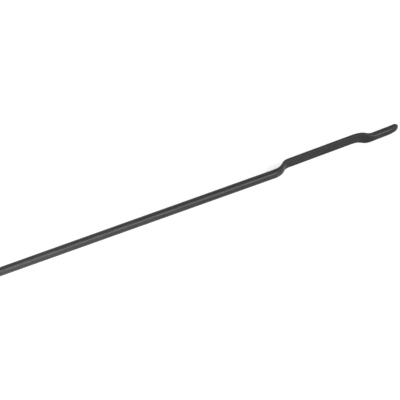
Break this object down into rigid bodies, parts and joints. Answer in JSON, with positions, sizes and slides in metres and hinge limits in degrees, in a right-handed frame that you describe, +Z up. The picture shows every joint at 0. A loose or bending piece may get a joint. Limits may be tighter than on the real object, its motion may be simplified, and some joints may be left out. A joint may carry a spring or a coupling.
{
  "type": "engine oil dipstick",
  "caption": "Dark bent-wire oil level gauge with a finger eye, a stop collar over a rubber tube plug, and a flattened blade between the joggles that mark full and low.",
  "frame": {"origin": "on the surface that the part lies on, under the middle of its box", "axes": "+X along the wire towards the tip, +Y level, the way the blade steps off the shank, +Z up"},
  "size_m": [0.3412, 0.027, 0.0134],
  "materials": {
    "wire": "satin dark coating on steel wire",
    "collar": "satin dark coating on steel",
    "plug": "matt black rubber"
  },
  "bodies": {
    "root": {"gauge_rod": "wire", "stop_collar": "collar", "seal_plug": "plug"}
  },
  "joints": []
}
